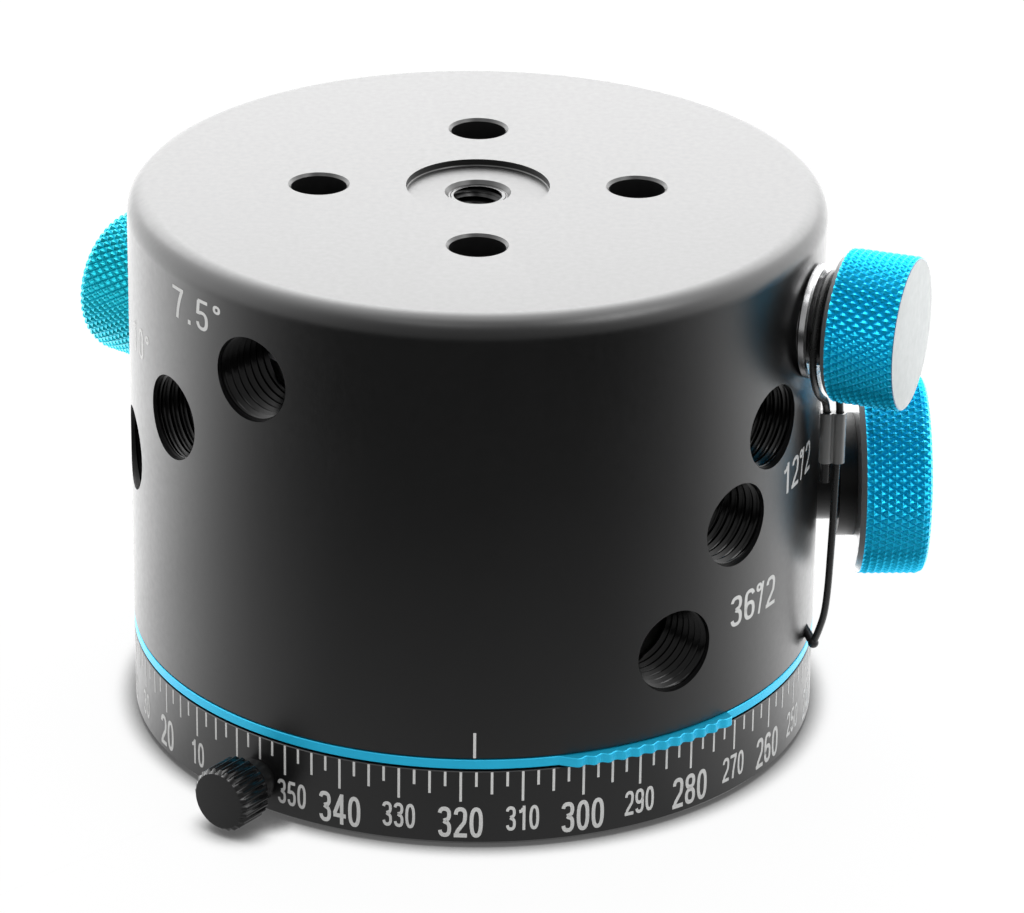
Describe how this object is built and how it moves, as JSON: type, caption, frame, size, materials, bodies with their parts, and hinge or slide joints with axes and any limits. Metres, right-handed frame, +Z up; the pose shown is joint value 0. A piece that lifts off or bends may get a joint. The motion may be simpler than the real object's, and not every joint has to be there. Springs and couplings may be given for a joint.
{
  "type": "panoramic tripod head",
  "caption": "Indexing rotator head with a spring plunger, detent drum, dial ring, lock and drag knobs, and threaded holes for a camera plate.",
  "frame": {"origin": "centre of the bottom face, on the pan axis, at the mouth of the tripod thread", "axes": "+Z up along the pan axis, -Y towards the front of the dial, +X to the plunger side"},
  "size_m": [0.0945, 0.0751, 0.06],
  "materials": {
    "black_anodised": "satin black anodised, fine turned surface",
    "blue_anodised": "bright blue anodised, diamond knurled on the knobs",
    "bright_steel": "polished steel",
    "dark_steel": "blackened steel screws",
    "plain_steel": "ground steel",
    "drum_alloy": "bare machined alloy",
    "bronze": "oiled bronze",
    "brass": "turned brass",
    "glide_plastic": "smooth acetal",
    "wire_coating": "black coated wire"
  },
  "bodies": {
    "base": {"base_plate": "black_anodised", "tripod_insert": "plain_steel", "drum_screws": "dark_steel", "detent_drum": "drum_alloy", "pivot_bushing": "bronze", "glide_ring": "glide_plastic"},
    "dial": {"dial_ring": "black_anodised", "thumb_ring": "blue_anodised"},
    "dial_pad": {"dial_clamp_pad": "brass"},
    "dial_knob": {"dial_clamp_screw": "dark_steel", "dial_clamp_knob": "black_anodised"},
    "rotor": {"housing": "black_anodised", "bottom_cover": "black_anodised", "cover_screws": "dark_steel", "lower_thrust_washer": "bronze", "upper_thrust_washer": "bronze", "pivot_pin": "plain_steel", "plunger_barrel": "plain_steel", "plunger_nut": "bright_steel", "plunger_cap": "black_anodised", "plunger_spring": "plain_steel", "lanyard_wire": "wire_coating", "lanyard_sleeve": "wire_coating", "lanyard_tail_cap": "wire_coating", "lanyard_anchor": "bright_steel"},
    "plunger": {"plunger_pin": "plain_steel", "plunger_knob": "blue_anodised"},
    "lock_feed": {"lock_pad": "brass"},
    "lock_turn": {"lock_screw": "black_anodised", "lock_knob": "blue_anodised"},
    "drag_feed": {"drag_pad": "brass"},
    "drag_turn": {"drag_screw": "black_anodised", "drag_knob": "blue_anodised"}
  },
  "joints": [
    {"name": "pan", "type": "hinge", "parent": "base", "child": "rotor", "pos_m": [0, 0, 0.03], "axis": [0, 0, 1], "continuous": true},
    {"name": "dial_turn", "type": "hinge", "parent": "base", "child": "dial", "pos_m": [0, 0, 0.005], "axis": [0, 0, 1], "continuous": true},
    {"name": "plunger_pull", "type": "slide", "parent": "rotor", "child": "plunger", "axis": [0.9449, -0.3272, 0], "range_m": [0, 0.003], "stiffness_N_per_m": 600, "springref_m": -0.003, "deforming": ["plunger_spring"]},
    {"name": "lock_turn", "type": "hinge", "parent": "lock_feed", "child": "lock_turn", "pos_m": [0.03998, 0.0014, 0.0259], "axis": [0.9994, 0.0349, 0], "range_deg": [0, 362]},
    {"name": "lock_feed", "type": "slide", "parent": "rotor", "child": "lock_feed", "axis": [0.9994, 0.0349, 0], "range_m": [0, 0.001]},
    {"name": "drag_turn", "type": "hinge", "parent": "drag_feed", "child": "drag_turn", "pos_m": [-0.03152, 0.02463, 0.036], "axis": [-0.788, 0.6157, 0], "range_deg": [0, 362]},
    {"name": "drag_feed", "type": "slide", "parent": "rotor", "child": "drag_feed", "axis": [-0.788, 0.6157, 0], "range_m": [0, 0.001]},
    {"name": "dial_clamp_turn", "type": "hinge", "parent": "dial_pad", "child": "dial_knob", "pos_m": [-0.02396, -0.03203, 0.0042], "axis": [-0.599, -0.8007, 0], "range_deg": [0, 543]},
    {"name": "dial_clamp_feed", "type": "slide", "parent": "dial", "child": "dial_pad", "axis": [-0.599, -0.8007, 0], "range_m": [0, 0.00105]}
  ],
  "couplings": [
    {"joint": "lock_turn", "follows": "lock_feed", "rad_per_m": 6283.2},
    {"joint": "drag_turn", "follows": "drag_feed", "rad_per_m": 6283.2},
    {"joint": "dial_clamp_turn", "follows": "dial_clamp_feed", "rad_per_m": 8976}
  ]
}
